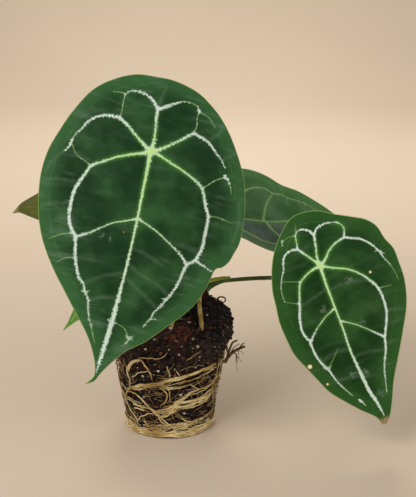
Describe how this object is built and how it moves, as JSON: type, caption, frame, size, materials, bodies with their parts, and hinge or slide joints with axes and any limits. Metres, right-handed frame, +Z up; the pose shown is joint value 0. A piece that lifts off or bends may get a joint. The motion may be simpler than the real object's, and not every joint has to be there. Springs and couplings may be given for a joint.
{
  "type": "anthurium forgetii plant with bare root ball",
  "caption": "Velvet-leaved aroid lifted from its nursery pot: shield-shaped dark leaves with silver veins on thin petioles over a root-bound ball.",
  "frame": {"origin": "middle of the root ball's flat round underside, where the plant stands", "axes": "+Z up, -Y towards the viewer, +X to the viewer's right"},
  "size_m": [0.2755, 0.1799, 0.2543],
  "materials": {
    "potting_mix": "matte",
    "root": "matte",
    "fine_root": "matte",
    "aerial_root": "matte",
    "stem": "matte",
    "sheath": "matte",
    "petiole": "satin",
    "blade": "satin",
    "rear_blade": "satin",
    "young_blade": "satin",
    "silver_vein": "satin",
    "pale_vein": "satin"
  },
  "bodies": {
    "root": {"potting_mix": "potting_mix", "root_net": "root", "stem": "stem", "aerial_root_1": "aerial_root", "aerial_root_2": "aerial_root", "aerial_root_3": "aerial_root", "curled_root": "fine_root", "bud": "sheath", "sheath": "sheath", "petiole_1": "petiole", "blade_1": "blade", "veins_1": "silver_vein", "petiole_2": "petiole", "blade_2": "blade", "veins_2": "silver_vein", "petiole_3": "petiole", "blade_3": "rear_blade", "veins_3": "pale_vein", "petiole_4": "petiole", "blade_4": "young_blade", "veins_4": "pale_vein", "petiole_5": "petiole", "blade_5": "blade", "veins_5": "pale_vein"}
  },
  "joints": []
}
